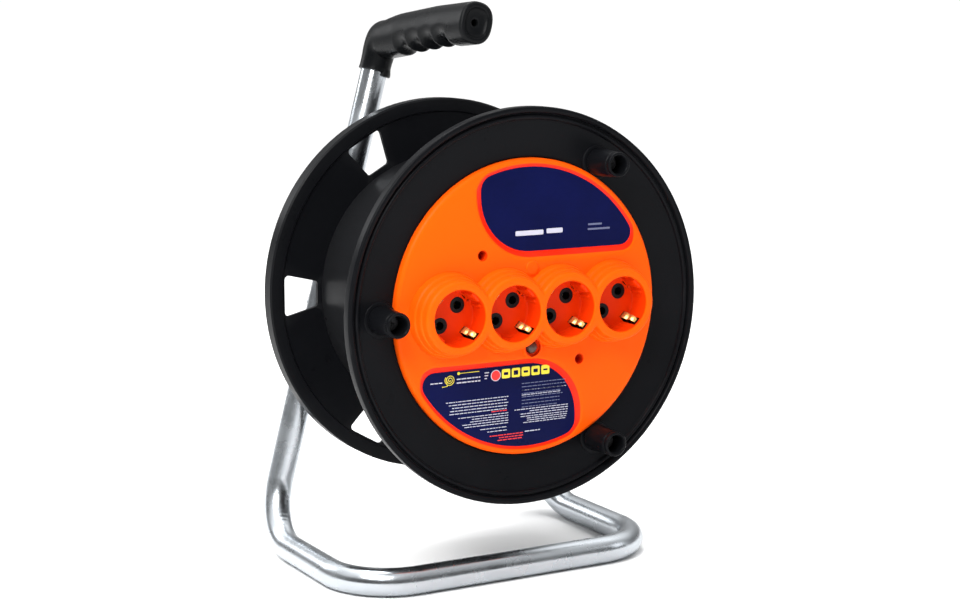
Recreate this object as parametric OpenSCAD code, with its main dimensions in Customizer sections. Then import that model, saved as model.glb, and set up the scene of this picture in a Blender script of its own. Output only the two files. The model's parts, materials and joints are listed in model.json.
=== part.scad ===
// Extension cord reel: a drum with four earthed sockets that spins on a bent steel tube frame.
// Lengths are millimetres. +Z is up, the sockets face -Y, and the origin is on the floor under
// the middle of the object. Along the reel's axle, "h" counts forward from the front flange's rim.

/* [Sockets] */
// Distance between neighbouring sockets
socket_pitch = 43.6; // [42:0.1:54]
// Diameter of the recess that takes the plug
recess_d = 39.5; // [38:0.1:41]
// Depth of the recess
recess_depth = 17.5; // [15:0.5:20]
// Distance between the two pin holes
pin_pitch = 19; // [18:0.1:20]
// Diameter of a pin hole
pin_hole_d = 6; // [5.2:0.1:6.4]
// Height of the socket mouths above the rim plane
mouth_h = 18.5; // [16:0.5:24]
// Thickness of the moulded panel
panel_wall = 2.5; // [2:0.1:3.5]
// Panel left outside the end sockets
panel_margin = 12.9; // [8:0.1:20]

/* [Reel] */
// Width of the flange ring outside the panel
ring_w = 35.4; // [33:0.1:60]
// Clear width between the two flanges, which holds the cable
winding_w = 122.5; // [80:0.5:170]
// Depth of the winding space, from the drum to the flange's edge
winding_depth = 41.5; // [36:0.1:55]
// Thickness of the flanges
flange_wall = 3; // [2.5:0.1:4]
// Thickness of the drum's wall
drum_wall = 2.5; // [2:0.1:4]
// Number of windows in the rear flange
window_count = 6; // [3:1:8]
// Radial height of a window
window_h = 26; // [16:1:30]

/* [Winding knobs] */
// Diameter of a knob at its foot
knob_d = 19.8; // [19:0.1:23]
// Diameter of a knob at its tip
knob_tip_d = 17.5; // [16.5:0.1:19]
// How far the knobs stand out in front of the rim plane
knob_h = 23.6; // [22:0.1:40]

/* [Axle] */
// Diameter of the axle bolt
axle_d = 12; // [10:0.5:16]
// Wall of the plain bushes on the axle
bush_wall = 3; // [2:0.5:4]
// Running clearance, on the radius
run_gap = 0.05; // [0.02:0.01:0.1]

/* [Frame] */
// Outside diameter of the frame tube
tube_d = 20; // [16:0.5:26]
// Wall of the frame tube
tube_wall = 1.5; // [1.2:0.1:2.5]
// Width of the floor loop between tube centres
loop_w = 242; // [220:1:320]
// How far the loop's middle lies to the right of the axle
loop_shift = -7.5; // [-15:0.5:15]
// Bend radius of the tube's centre line
bend_r = 45; // [35:1:60]
// Lean of the two legs towards the middle, in degrees
leg_lean = 15; // [8:0.5:18]
// Height of the flanges above the floor
ground_gap = 56.6; // [40:0.1:90]
// Gap between the rear flange and the legs
leg_gap = 19; // [16:0.5:30]
// How far the front bar's centre lies behind the rim plane
bar_setback = 11.3; // [5:0.1:40]
// Height of the tube's upper end above the flanges
tube_rise = 50; // [44:0.5:80]
// Length of the grip in front of the tube
grip_l = 148; // [130:1:170]

/* [Hidden] */
$fn = 96;
eps = 0.01;

// Clearances
seat_gap = 0.3;     // between a part and the seat that it drops into
hole_gap = 0.05;    // between a screw and its hole, on the radius

// The panel and its sockets
socket_count = 4;
recess_r = recess_d / 2;
row_half = (socket_count - 1) / 2 * socket_pitch;
collar_top_r = recess_r + 6.25;
collar_mid_r = collar_top_r + 1.5;
collar_foot_r = collar_top_r + 4;
panel_r = row_half + collar_top_r + panel_margin;
crown_h = 2.2;                  // middle of the panel
shoulder_h = -1;                // start of the panel's rounded edge
edge_h = -4;                    // foot of the panel's rounded edge
floor_h = mouth_h - recess_depth;
crown_flat_r = 45;
edge_round = 3.3;
collar_step_h = mouth_h - 9;
collar_low_h = crown_h + 2;

// The flanges and the drum
panel_seat_r = panel_r + seat_gap;
flange_r = panel_seat_r + ring_w;
drum_r = flange_r - winding_depth;
seat_h = -9.5;                  // ledge under the panel's edge
seat_lap = 16;                  // width of that ledge
flange_back_h = seat_h - flange_wall;
drum_back_h = flange_back_h - winding_w + flange_wall;
rim_depth = 8;
rear_rim_depth = 6;
rear_face_h = drum_back_h - flange_wall - rear_rim_depth;

// The axle and hub
axle_r = axle_d / 2;
bush_r = axle_r + run_gap + bush_wall;
bush_flange_r = bush_r + 3;
bush_l = 20;
bush_flange_w = 1.2;
hub_r = bush_r + 7;
web_h = flange_back_h - 50;     // front face of the drum's inner web
rear_hub_h = rear_face_h - 9;
washer_w = 1.5;
end_play = 0.1;

// The frame
tube_r = tube_d / 2;
axis_z = flange_r + ground_gap;
leg_h = rear_face_h - leg_gap - tube_r;
tube_top_z = axis_z + flange_r + tube_rise;
bend_draw = 0.05;
plate_w = 3;
plate_half_z = 25;
plate_front_h = leg_h - tube_r;
plate_back_h = plate_front_h - plate_w;
bolt_head_w = axle_d * 0.62;
lock_nut_w = axle_d / 2;
spacer_l = rear_hub_h - bush_flange_w - end_play - washer_w - plate_front_h - lock_nut_w;

// The origin is at the middle of the object's depth
depth_front = knob_h;
depth_back = plate_back_h - bolt_head_w;
mid_h = (depth_front + depth_back) / 2;
function y_at(h) = mid_h - h;

// The two legs: side is -1 for the left one and +1 for the right one
function leg_x(side, z) = loop_shift + side * (loop_w / 2 - (z - tube_r) * tan(leg_lean));
short_leg_top_z = axis_z + 58;

// Places around the reel
knob_r = panel_seat_r + knob_d / 2;
knob_angles = [180, 60, -60];
screw_pitch_r = drum_r - 9;
screw_angles = [for (i = [0 : 5]) 30 + 60 * i];
window_outer_r = flange_r - 12;
window_inner_r = window_outer_r - window_h;
panel_screw_r = 55.5;
panel_screw_angles = [135, -45];
reset_x = 0;
reset_y = -27.5;
inlet_angle = -60;
inlet_h = flange_back_h - 14;
inlet_r = 7;

// Labels: an outline with one swept corner, and the same outline turned half a turn
label_r = panel_r - 5.9;
label_foot = 39.6;
label_left = 38.3;
sweep_r = 39.4;
label_w = 0.25;
label_floor_h = -2.2;

// Contacts
pin_r = pin_pitch / 2;
boss_r = 5.5;
block_r = 15;
block_back_h = floor_h - 21;
block_front_h = floor_h - panel_wall - 0.1;
socket_xs = [for (i = [0 : socket_count - 1]) -row_half + i * socket_pitch];
bus_w = 1.4;
bus_height = 7;
bus_front_h = block_back_h - 0.1;
strip_h = bus_front_h - bus_w - 2.6;
clip_r = recess_r - 2.6;
terminal_x = row_half + block_r + 4;

// Screws: shank radius, head radius and head height
flange_screw = [1.95, 3.8, 2.2];
panel_screw = [1.95, 3.0, 2.0];
knob_screw = [2.4, 5.6, 2.4];
handle_screw_size = [2.1, 4.0, 2.4];
terminal_screw = [1.7, 3.2, 1.8];
plate_bolt_r = 3;

// Draws along the reel's axle: local X is right, local Y is up and local Z is forward
module on_axis(h = 0) {
    translate([0, y_at(h), axis_z]) rotate([90, 0, 0]) children();
}

// Points along an arc, from one angle to another
function arc(c, r, from, to, steps) =
    [for (i = [0 : steps]) let (a = from + (to - from) * i / steps) c + r * [cos(a), sin(a)]];

// A ring of revolution about the reel's axle from (radius, h) points
module turned(points) {
    on_axis() rotate_extrude($fn = 180) polygon(points);
}

// A disc or tube about the local Z axis from one height to another
module pipe(outer, inner, from, to) {
    translate([0, 0, min(from, to)]) difference() {
        cylinder(r = outer, h = abs(to - from));
        if (inner > 0) translate([0, 0, -1]) cylinder(r = inner, h = abs(to - from) + 2);
    }
}

// A round pan head screw whose head sits on height 0 and whose shank goes down
module pan_screw(size, length) {
    difference() {
        rotate_extrude() polygon([
            [0, -length], [size[0] * 0.6, -length], [size[0], -length + size[0]], [size[0], 0],
            [size[1], 0], [size[1], size[2] * 0.55], [size[1] * 0.8, size[2]], [0, size[2]]
        ]);
        for (a = [0, 90]) rotate([0, 0, a])
            translate([-size[1] * 0.45, -0.35, size[2] * 0.35]) cube([size[1] * 0.9, 0.7, size[2]]);
    }
}

// A hexagon prism with its across-flats size
module hexagon(flats, height) {
    cylinder(r = flats / 2 / cos(30), h = height, $fn = 6);
}

// A convex outline with round corners of one radius
module rounded_outline(p, r) {
    n = len(p);
    function dir(a, b) = (b - a) / norm(b - a);
    half = [for (i = [0 : n - 1])
        acos(dir(p[i], p[(i + n - 1) % n]) * dir(p[i], p[(i + 1) % n])) / 2];
    polygon([for (i = [0 : n - 1]) for (j = [n - 1, 1])
        p[i] + dir(p[i], p[(i + j) % n]) * r / tan(half[i])]);
    for (i = [0 : n - 1]) {
        mid = dir(p[i], p[(i + n - 1) % n]) + dir(p[i], p[(i + 1) % n]);
        translate(p[i] + mid / norm(mid) * r / sin(half[i])) circle(r = r);
    }
}

// ---- Frame ----

// The whole bent run as a solid bar of one radius: front bar, side bars, rear bends and two legs
module bent_bar(r) {
    bar_y = y_at(-bar_setback);
    straight = loop_w / 2 - bend_r;
    translate([loop_shift, 0, 0]) {
        translate([-straight, bar_y, tube_r]) rotate([0, 90, 0]) cylinder(r = r, h = 2 * straight);
        bent_side(r, short_leg_top_z);
        mirror([1, 0, 0]) bent_side(r, tube_top_z);
    }
}

// One side of the loop, with its front bend and its leg
module bent_side(r, top_z) {
    bar_y = y_at(-bar_setback);
    leg_y = y_at(leg_h);
    leg_l = (top_z - tube_r) / cos(leg_lean);
    translate([loop_w / 2 - bend_r, bar_y + bend_r, tube_r]) rotate([0, 0, -90]) bend(r);
    translate([loop_w / 2, bar_y + bend_r, tube_r]) rotate([-90, 0, 0])
        cylinder(r = r, h = leg_y - bar_y - 2 * bend_r);
    translate([loop_w / 2, leg_y, tube_r]) rotate([0, -leg_lean, 0]) {
        translate([0, -bend_r, bend_r]) rotate([90, 0, 90]) rotate([0, 0, -90]) bend(r);
        translate([0, 0, bend_r]) cylinder(r = r, h = leg_l - bend_r);
    }
}

// A quarter turn of the bar. Bending draws it down a little
module bend(r) {
    rotate_extrude(angle = 90, $fn = 128) translate([bend_r, 0]) circle(r = r - bend_draw);
}

// Places its children, drawn up the leg, at a height on the left (-1) or right (+1) leg
module on_leg(side, z) {
    translate([leg_x(side, z), y_at(leg_h), z]) rotate([0, -side * leg_lean, 0]) children();
}

plate_bolt_zs = [axis_z - 14, axis_z + 14];

module plate_bolt_places() {
    for (side = [-1, 1]) for (z = plate_bolt_zs)
        translate([leg_x(side, z), y_at(plate_back_h), z]) rotate([90, 0, 0]) children();
}

module frame_tube() {
    color("silver") difference() {
        bent_bar(tube_r);
        bent_bar(tube_r - tube_wall);
        plate_bolt_places() translate([0, 0, -1])
            cylinder(r = plate_bolt_r + hole_gap, h = tube_d + plate_w + 2);
        handle_screw_place() translate([0, 0, -6])
            cylinder(r = handle_screw_size[0] + hole_gap, h = 12);
    }
}

module leg_end_plug() {
    plug_l = 14;
    color("#1c1d1e") on_leg(1, short_leg_top_z) {
        pipe(tube_r - tube_wall - 0.1, tube_r - tube_wall - 2, -plug_l, 0.1);
        rotate_extrude() polygon([
            [0, 0], [tube_r - 0.2, 0], [tube_r - 0.2, 1.2], [tube_r - 1.6, 2.4], [0, 2.8]
        ]);
    }
}

// The handle screw goes in from behind, low on the grip's skirt
skirt_l = 32;
skirt_r = tube_r + 3.2;
skirt_z = tube_top_z - skirt_l * cos(leg_lean);
handle_screw_z = skirt_z + 12;

module handle_screw_place() {
    translate([leg_x(-1, handle_screw_z), y_at(leg_h) + skirt_r - 0.6, handle_screw_z])
        rotate([-90, 0, 0]) children();
}

module handle_screw() {
    color("#b9bcc0") handle_screw_place() pan_screw(handle_screw_size, 9);
}

grip_half_w = 12.6;
grip_half_z = 14.5;
grip_side = -2.6;       // the grip's nose points a little to the left
grip_climb = 6.9;       // and a little up

// One oval slice of the grip, which hull() joins to the next
module grip_slice(along, up, half_w, half_z) {
    translate([grip_side * along / grip_l, -along, up]) rotate([90, 0, 0])
        linear_extrude(1) scale([half_w, half_z]) circle(r = 1, $fn = 32);
}

module handle_grip() {
    top = [leg_x(-1, tube_top_z), y_at(leg_h), tube_top_z];
    finger_pitch = 21;
    color("#202224") difference() {
        union() {
            on_leg(-1, skirt_z) cylinder(r1 = skirt_r - 0.6, r2 = skirt_r + 0.6, h = skirt_l);
            translate(top) {
                hull() {
                    translate([0, 0, -8.5]) sphere(r = skirt_r + 1.6, $fn = 32);
                    grip_slice(0, -9, grip_half_w, grip_half_z - 0.5);
                    grip_slice(40, -2.4, grip_half_w, grip_half_z + 0.6);
                }
                hull() {
                    grip_slice(40, -2.4, grip_half_w, grip_half_z + 0.6);
                    grip_slice(96, 3.4, grip_half_w, grip_half_z);
                }
                hull() {
                    grip_slice(96, 3.4, grip_half_w, grip_half_z);
                    grip_slice(grip_l - 1, grip_climb, grip_half_w, grip_half_z);
                }
            }
        }
        // finger scallops under the grip
        translate(top) for (i = [0 : 3])
            translate([0, -52 - i * finger_pitch, -26.2 + i * 2.2]) rotate([0, 90, 0])
                cylinder(r = 13, h = 60, center = true);
        on_leg(-1, skirt_z) translate([0, 0, -1])
            cylinder(r = tube_r + hole_gap, h = skirt_l + 1.3);
        translate(top + [grip_side, -grip_l + 12, grip_climb]) rotate([90, 0, 0])
            cylinder(r = 2.6, h = 20);
        handle_screw_place() {
            translate([0, 0, -20]) cylinder(r = handle_screw_size[0] + hole_gap, h = 21);
            cylinder(r = handle_screw_size[1] + seat_gap, h = 12);
        }
    }
}

// A steel cross plate behind the legs, whose ends run up beside them
module bearing_plate() {
    lap = 4;
    low = axis_z - plate_half_z;
    high = axis_z + plate_half_z;
    color("#a9adb2") difference() {
        translate([0, y_at(plate_back_h), 0]) rotate([90, 0, 0]) linear_extrude(plate_w)
            rounded_outline([
                [leg_x(-1, low) - lap, low], [leg_x(1, low) + lap, low],
                [leg_x(1, high) + lap, high], [leg_x(-1, high) - lap, high]
            ], 4);
        plate_bolt_places() translate([0, 0, -1]) cylinder(r = plate_bolt_r + hole_gap, h = plate_w + 2);
        on_axis(plate_back_h - 1) cylinder(r = axle_r + hole_gap, h = plate_w + 2);
    }
}

module plate_bolts() {
    color("#c3c6ca") plate_bolt_places() {
        translate([0, 0, -4]) hexagon(10, 4);
        translate([0, 0, -eps]) cylinder(r = plate_bolt_r, h = plate_w + tube_d + 8);
    }
}

module plate_nuts() {
    color("#c3c6ca") plate_bolt_places() translate([0, 0, plate_w + tube_d]) difference() {
        hexagon(10, 5);
        translate([0, 0, -1]) cylinder(r = plate_bolt_r + hole_gap, h = 7);
    }
}

// ---- Axle ----

axle_tip_h = web_h + 18;

module axle_bolt() {
    color("#b4b8bc") on_axis() {
        translate([0, 0, plate_back_h - bolt_head_w]) hexagon(axle_d + 7, bolt_head_w);
        translate([0, 0, plate_back_h - eps]) cylinder(r = axle_r, h = axle_tip_h - plate_back_h - 1);
        translate([0, 0, axle_tip_h - 1 - eps]) cylinder(r1 = axle_r, r2 = axle_r - 1, h = 1);
    }
}

module axle_lock_nut() {
    color("#c3c6ca") on_axis() translate([0, 0, plate_front_h]) difference() {
        hexagon(axle_d + 7, lock_nut_w);
        translate([0, 0, -1]) cylinder(r = axle_r + hole_gap, h = lock_nut_w + 2);
    }
}

module axle_spacer() {
    color("#a9adb2") on_axis()
        pipe(axle_r + 3, axle_r + hole_gap, plate_front_h + lock_nut_w,
             plate_front_h + lock_nut_w + spacer_l);
}

rear_washer_h = rear_hub_h - bush_flange_w - end_play - washer_w;
front_washer_h = web_h + bush_flange_w + end_play;

module axle_washers() {
    color("#c3c6ca") on_axis() for (h = [rear_washer_h, front_washer_h])
        pipe(axle_r + 6, axle_r + hole_gap, h, h + washer_w);
}

module axle_end_nut() {
    nut_w = axle_d * 0.85;
    color("#c3c6ca") on_axis() translate([0, 0, front_washer_h + washer_w]) difference() {
        union() {
            hexagon(axle_d + 7, nut_w);
            pipe(axle_r + 2.4, 0, 0, nut_w + 3);
        }
        translate([0, 0, -1]) cylinder(r = axle_r + hole_gap, h = nut_w + 6);
    }
}

module hub_bushes() {
    color("#e8e4d8") on_axis() {
        for (place = [[rear_hub_h, 1], [web_h, -1]])
            translate([0, 0, place[0]]) {
                pipe(bush_r, axle_r + run_gap, 0, place[1] * bush_l);
                pipe(bush_flange_r, axle_r + run_gap, 0, -place[1] * bush_flange_w);
            }
    }
}

// ---- Reel ----

// A screw boss on the drum's inner wall, which a rib ties to the wall
module screw_bosses(from, to) {
    for (a = screw_angles) rotate([0, 0, a]) difference() {
        union() {
            translate([screw_pitch_r, 0, 0]) pipe(4.6, 0, from, to);
            translate([screw_pitch_r, -1.2, min(from, to) + 1])
                cube([drum_r - drum_wall / 2 - screw_pitch_r, 2.4, abs(to - from) - 2]);
        }
        translate([screw_pitch_r, 0, min(from, to) - 1])
            cylinder(r = flange_screw[0] + hole_gap, h = abs(to - from) + 2);
    }
}

module drum_shell() {
    boss_l = 20;
    rib_w = 2.4;
    color("#232527") on_axis() difference() {
        union() {
            pipe(drum_r, drum_r - drum_wall, flange_back_h, drum_back_h);
            pipe(drum_r - drum_wall / 2, bush_r + 2, web_h - flange_wall, web_h);
            pipe(hub_r, bush_r + hole_gap, web_h - bush_l - 4, web_h);
            for (a = screw_angles) rotate([0, 0, a]) translate([hub_r - 1, -rib_w / 2, web_h - 18])
                cube([drum_r - drum_wall / 2 - hub_r + 1, rib_w, 18 - flange_wall / 2]);
            screw_bosses(flange_back_h - boss_l, flange_back_h);
            screw_bosses(drum_back_h, drum_back_h + boss_l);
            for (a = panel_screw_angles) rotate([0, 0, a]) translate([panel_screw_r, 0, 0])
                pipe(5, panel_screw[0] + hole_gap, web_h - 1, -panel_screw_deep - 3.1);
        }
        // the way in for the cable
        rotate([0, 0, inlet_angle]) translate([drum_r - 12, 0, inlet_h - inlet_r / 2])
            rotate([0, 90, 0]) cylinder(r = inlet_r + hole_gap, h = 20);
        translate([0, 0, web_h - bush_l - 5]) cylinder(r = bush_r + hole_gap, h = bush_l + 6);
    }
}

module cable_inlet() {
    color("#17181a") on_axis() rotate([0, 0, inlet_angle])
        translate([drum_r - drum_wall, 0, inlet_h - inlet_r / 2]) rotate([0, 90, 0])
            difference() {
                union() {
                    translate([0, 0, -5]) cylinder(r = inlet_r, h = 7 + drum_wall);
                    translate([0, 0, -7]) cylinder(r1 = inlet_r - 1, r2 = inlet_r + 1.8, h = 5);
                }
                translate([0, 0, -8]) cylinder(r = 5, h = 20);
            }
}

// The cone of a collar round each socket mouth, out of three steps
module collar(inset) {
    in = inset;
    rotate_extrude() polygon([
        [0, -1 - in], [collar_foot_r - in, -1 - in], [collar_foot_r - in, collar_low_h - 1 - in],
        [collar_foot_r - 1 - in, collar_low_h - in], [collar_mid_r - in, collar_low_h + 0.6 - in],
        [collar_mid_r - in, collar_step_h - 0.8 - in], [collar_mid_r - 0.8 - in, collar_step_h - in],
        [collar_top_r - in, collar_step_h + 0.3 - in], [collar_top_r - in, mouth_h - 2 - in],
        [collar_top_r - 2 - in, mouth_h - in], [0, mouth_h - in]
    ]);
}

// The crowned disc that the sockets stand on
module panel_body(inset, foot_h) {
    rotate_extrude($fn = 180) polygon([
        [0, foot_h], [panel_r - inset, foot_h], [panel_r - inset, edge_h - inset],
        [panel_r - edge_round * 0.3 - inset, edge_h + edge_round * 0.65 - inset],
        [panel_r - edge_round - inset, shoulder_h - inset],
        [panel_r - 24 - inset, shoulder_h + 1.9 - inset],
        [crown_flat_r, crown_h - inset], [0, crown_h - inset]
    ]);
}

// The outline of a label, grown by g. Its swept corner is at the lower left
module label_outline(g = 0) {
    nose = 9;       // corner between the straight foot and the outer arc
    brow = 11;      // corner between the straight side and the outer arc
    nose_c = [sqrt(pow(label_r - nose, 2) - pow(label_foot + nose, 2)), label_foot + nose];
    brow_c = [-label_left + brow, sqrt(pow(label_r - brow, 2) - pow(label_left - brow, 2))];
    sweep_c = [-label_left + sweep_r, label_foot + sweep_r];
    nose_a = atan2(nose_c[1], nose_c[0]);
    brow_a = atan2(brow_c[1], brow_c[0]);
    polygon(concat(
        arc(nose_c, nose + g, -90, nose_a, 8),
        arc([0, 0], label_r + g, nose_a + 2, brow_a - 2, 32),
        arc(brow_c, brow + g, brow_a, 180, 6),
        arc(sweep_c, sweep_r + g, 180, 270, 14)
    ));
}

// Draws its children for the upper label and, half a turn round, for the lower one
module both_labels() {
    for (a = [0, 180]) rotate([0, 0, a]) children();
}

module at_sockets() {
    for (x = socket_xs) translate([x, 0, 0]) children();
}

module at_pins() {
    for (a = [45, 225]) rotate([0, 0, a]) translate([pin_r, 0, 0]) children();
}

module at_clips() {
    for (a = [-45, 135]) rotate([0, 0, a]) children();
}

panel_screw_deep = 12;
reset_hole_r = 4.6;

module front_panel() {
    clip_slot = 5.6;
    color("#f2660f") on_axis() difference() {
        union() {
            difference() {
                union() {
                    panel_body(0, seat_h + 0.1);
                    at_sockets() collar(0);
                    translate([reset_x, reset_y, 0]) pipe(8, 0, 0, crown_h + 1.6);
                    translate([0, -reset_y + 0.8, 0]) pipe(5, 0, 0, crown_h + 0.9);
                }
                // the hollow behind the skin
                difference() {
                    union() {
                        panel_body(panel_wall, seat_h - 1);
                        at_sockets() collar(panel_wall);
                    }
                    both_labels() translate([0, 0, label_floor_h - panel_wall])
                        linear_extrude(10) label_outline(panel_wall);
                    at_sockets() pipe(recess_r + panel_wall, 0, floor_h - panel_wall, mouth_h);
                    translate([reset_x, reset_y, 0]) pipe(8, 0, -1, crown_h + 1.6);
                }
            }
            // deep tubes for the two panel screws
            for (a = panel_screw_angles) rotate([0, 0, a]) translate([panel_screw_r, 0, 0])
                pipe(6, 0, -panel_screw_deep - 3, crown_h - 0.5);
        }
        at_sockets() {
            translate([0, 0, floor_h]) cylinder(r = recess_r, h = recess_depth + 1);
            at_pins() translate([0, 0, floor_h - panel_wall - 1])
                cylinder(r = boss_r + 0.15, h = panel_wall + 2);
            at_clips() translate([clip_r - 2.6, -clip_slot / 2, floor_h - panel_wall - 1])
                cube([5.2, clip_slot, panel_wall + 2]);
        }
        both_labels() translate([0, 0, label_floor_h]) linear_extrude(10) label_outline(0.5);
        for (a = panel_screw_angles) rotate([0, 0, a]) translate([panel_screw_r, 0, 0]) {
            translate([0, 0, -panel_screw_deep]) cylinder(r = panel_screw[1] + 0.4, h = 30);
            translate([0, 0, -30]) cylinder(r = panel_screw[0] + hole_gap, h = 30);
        }
        translate([reset_x, reset_y, crown_h - 1.5]) cylinder(r = 6, h = 10);
        translate([reset_x, reset_y, -10]) cylinder(r = reset_hole_r, h = 20);
    }
}

// The panel screws reach bosses on the drum's web
module panel_screws() {
    color("#8f949a") on_axis() for (a = panel_screw_angles) rotate([0, 0, a])
        translate([panel_screw_r, 0, -panel_screw_deep]) pan_screw(panel_screw, 16);
}

module label(turn) {
    color("#1b1c52") on_axis() rotate([0, 0, turn]) translate([0, 0, label_floor_h])
        linear_extrude(label_w) label_outline(0);
}

module label_upper() { label(0); }
module label_lower() { label(180); }

// One knob seat on the flange: a low collar, a spigot and a slim nose for the screw
ring_face_h = -5;
spigot_r = 7.4;
spigot_tip_h = 7;
nose_r = 4.6;
ledge_w = 2.4;
knob_bore_r = 6.5;
knob_wall_gap = 0.5;

module at_knobs() {
    for (a = knob_angles) rotate([0, 0, a]) translate([knob_r, 0, 0]) rotate([0, 0, -a]) children();
}

module front_flange() {
    r = flange_r;
    s = panel_seat_r;
    w = flange_wall;
    bolt_hole = flange_screw[0] + hole_gap;
    color("#26282a") difference() {
        union() {
            turned([
                [s - seat_lap, seat_h], [s, seat_h], [s, -6.8], [s + 0.6, -6.3], [r - 9, -3.6],
                [r - 8.4, -2.2], [r - 7.4, -1.5], [r - 6.4, -1.7], [r - 5.6, -3], [r - 4.6, -3],
                [r - 3.8, -0.8], [r - 2.8, 0], [r - 1, 0], [r, -1], [r, -rim_depth],
                [r - 2.4, -rim_depth], [r - 2.4, -3.6 - w], [s + 2.5, -6.3 - w],
                [s + 2.5, flange_back_h], [s - seat_lap, flange_back_h]
            ]);
            on_axis() at_knobs() {
                pipe(knob_d / 2 + 2, 0, ring_face_h - 3, ring_face_h + 1.1);
                pipe(spigot_r, 0, ring_face_h - 3, spigot_tip_h);
                pipe(nose_r, 0, ring_face_h, spigot_tip_h + ledge_w + 0.15);
            }
        }
        on_axis() {
            translate([0, 0, seat_h]) cylinder(r = s, h = 20, $fn = 180);
            at_knobs() translate([0, 0, -4]) cylinder(r = knob_screw[0] + hole_gap, h = 40);
            for (a = screw_angles) rotate([0, 0, a]) translate([screw_pitch_r, 0, flange_back_h - 1])
                cylinder(r = bolt_hole, h = flange_wall + 2);
        }
    }
}

// Loose sleeves that turn in the hand while the cable is wound in
module knob(i) {
    foot_h = ring_face_h + 1.1 + knob_wall_gap;
    tip_r = knob_tip_d / 2;
    foot_r = knob_d / 2;
    ledge_h = spigot_tip_h + 0.08;
    color("#1e2022") on_axis() rotate([0, 0, knob_angles[i]]) translate([knob_r, 0, 0])
        rotate_extrude() polygon([
            [spigot_r + run_gap, foot_h], [foot_r - 0.8, foot_h], [foot_r, foot_h + 0.8],
            [foot_r - 0.2, foot_h + 5], [tip_r, knob_h - 4.4], [tip_r - 0.5, knob_h - 3.6],
            [tip_r, knob_h - 2.8], [tip_r, knob_h - 0.8], [tip_r - 0.7, knob_h],
            [knob_bore_r + 0.6, knob_h], [knob_bore_r, knob_h - 0.7],
            [knob_bore_r, ledge_h + ledge_w], [nose_r + 0.3, ledge_h + ledge_w],
            [nose_r + 0.3, ledge_h], [spigot_r + run_gap, ledge_h]
        ]);
}

module knob_1() { knob(0); }
module knob_2() { knob(1); }
module knob_3() { knob(2); }

module knob_screws() {
    color("#8f949a") on_axis() at_knobs() translate([0, 0, spigot_tip_h + ledge_w + 0.15])
        pan_screw(knob_screw, 12);
}

module rear_flange() {
    r = flange_r;
    back = drum_back_h - flange_wall;
    rib_w = 3;
    half_out = 15.6;
    half_in = 9.2;
    lip_w = 9.5;
    color("#26282a") on_axis() difference() {
        union() {
            rotate_extrude($fn = 180) polygon([
                [bush_r + 2, drum_back_h], [r - lip_w - 1, drum_back_h], [r - lip_w, drum_back_h + 1.6],
                [r - 1.2, drum_back_h + 1.6], [r, drum_back_h + 0.6], [r, rear_face_h],
                [r - 2.6, rear_face_h], [r - 2.6, back], [bush_r + 2, back]
            ]);
            // a ring that centres the drum
            pipe(drum_r - drum_wall - 0.2, drum_r - drum_wall - 2.4, back, drum_back_h + 4);
            pipe(hub_r, bush_r + hole_gap, rear_hub_h, drum_back_h + 14);
            // stiffening on the back
            pipe(drum_r, drum_r - 3, back - 4, back + eps);
            for (a = screw_angles) rotate([0, 0, a]) translate([hub_r - 1, -rib_w / 2, back - 4])
                cube([drum_r - 0.5 - hub_r, rib_w, 4 + eps]);
        }
        for (i = [0 : window_count - 1]) rotate([0, 0, i * 360 / window_count - 90])
            translate([0, 0, rear_face_h - 1]) linear_extrude(30) rounded_outline([
                [-half_in, window_inner_r], [half_in, window_inner_r],
                [half_out, window_outer_r], [-half_out, window_outer_r]
            ], 3);
        for (a = screw_angles) rotate([0, 0, a]) translate([screw_pitch_r, 0, 0]) {
            translate([0, 0, back - 20]) cylinder(r = flange_screw[0] + hole_gap, h = 40);
            translate([0, 0, back - 20]) cylinder(r = flange_screw[1] + 0.4, h = 20);
            translate([0, 0, drum_back_h]) cylinder(r = 7.6, h = 10);
        }
        translate([0, 0, rear_hub_h - 1]) cylinder(r = bush_r + hole_gap, h = 60);
    }
}

module flange_screws() {
    color("#8f949a") on_axis() for (a = screw_angles) rotate([0, 0, a])
        translate([screw_pitch_r, 0, 0]) {
            translate([0, 0, seat_h]) pan_screw(flange_screw, 16);
            translate([0, 0, drum_back_h - flange_wall]) mirror([0, 0, 1]) pan_screw(flange_screw, 16);
        }
}

// ---- Electrical parts behind the panel ----

module contact_block(i) {
    tulip_bore = 3.45;
    color("#151617") on_axis() translate([socket_xs[i], 0, 0]) difference() {
        union() {
            pipe(block_r, 0, block_back_h, block_front_h);
            at_pins() pipe(boss_r, 0, block_front_h - 1, floor_h);
        }
        at_pins() {
            translate([0, 0, block_back_h - 1]) cylinder(r = pin_hole_d / 2, h = 40);
            translate([0, 0, block_back_h - 1])
                cylinder(r = tulip_bore, h = block_front_h - 4 - block_back_h);
        }
        at_clips() translate([clip_r - 2.6, -3, block_back_h - 1]) cube([6, 6, 40]);
    }
}

module contact_block_1() { contact_block(0); }
module contact_block_2() { contact_block(1); }
module contact_block_3() { contact_block(2); }
module contact_block_4() { contact_block(3); }

// A brass bar with one spring tulip for each socket; side is +1 for live and -1 for neutral
module bus(side) {
    off = side * pin_r * sin(45);
    first = -row_half + off - 5;
    difference() {
        union() {
            translate([first, off - bus_height / 2, bus_front_h - bus_w])
                cube([terminal_x + 4 - first, bus_height, bus_w]);
            for (x = socket_xs) translate([x + off, off, 0])
                pipe(3.3, 0, bus_front_h - bus_w, block_front_h - 6.5);
        }
        for (x = socket_xs) translate([x + off, off, bus_front_h - 10]) cylinder(r = 2.45, h = 40);
        for (x = socket_xs) translate([x + off - 5, off - 0.4, bus_front_h + 0.8]) cube([10, 0.8, 40]);
        translate([terminal_x, off, bus_front_h - 10])
            cylinder(r = terminal_screw[0] + hole_gap, h = 20);
    }
}

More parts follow.
